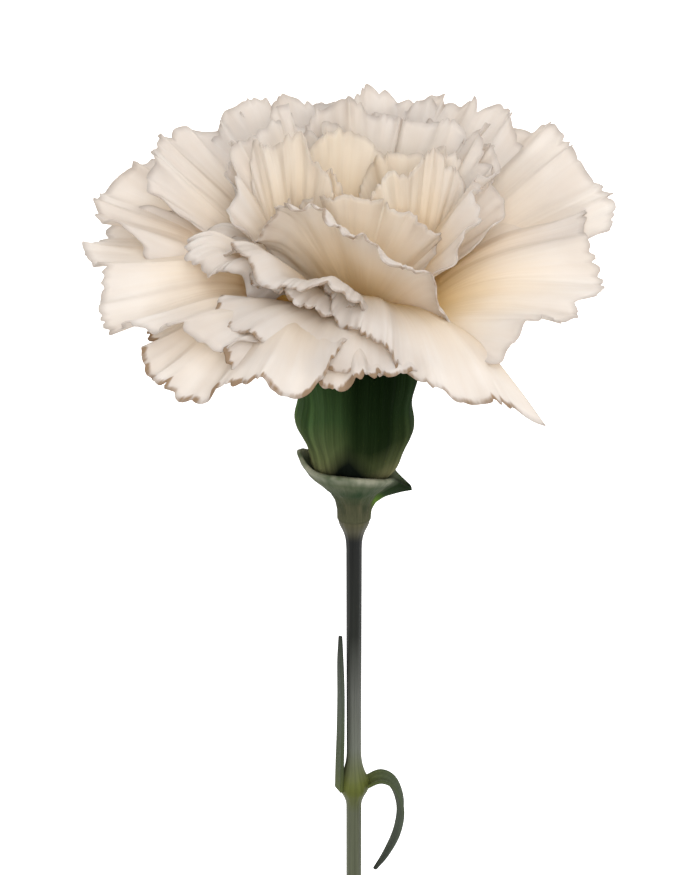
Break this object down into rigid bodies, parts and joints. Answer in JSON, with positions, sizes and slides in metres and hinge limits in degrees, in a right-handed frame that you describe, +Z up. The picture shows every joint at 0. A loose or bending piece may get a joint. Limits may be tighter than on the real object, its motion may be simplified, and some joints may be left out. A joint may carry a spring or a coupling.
{
  "type": "cut carnation flower",
  "caption": "Cream white carnation bloom of ruffled, toothed petals in a ribbed green calyx with clasping bracts, on a straight cut stem with a leaf pair, lying down.",
  "frame": {"origin": "centre of the flower's footprint on the surface that it lies on", "axes": "+Z up from the surface; +Y along the stem, towards the bloom; the side of the bloom that faces up is the one seen from above"},
  "size_m": [0.077, 0.1617, 0.0602],
  "materials": {
    "petal": "soft matte cream, warmer at the foot of each petal, faintly brown at the rim of the lowest ones",
    "calyx": "satin dark green with lighter ribs and a tan foot",
    "bract": "satin grey green with dry tips",
    "stem": "satin dark grey green",
    "leaf": "matte blue green with a waxy bloom"
  },
  "bodies": {
    "root": {"bloom": "petal", "calyx": "calyx", "bracts": "bract", "stem": "stem", "leaf_upright": "leaf", "leaf_curled": "leaf"}
  },
  "joints": []
}
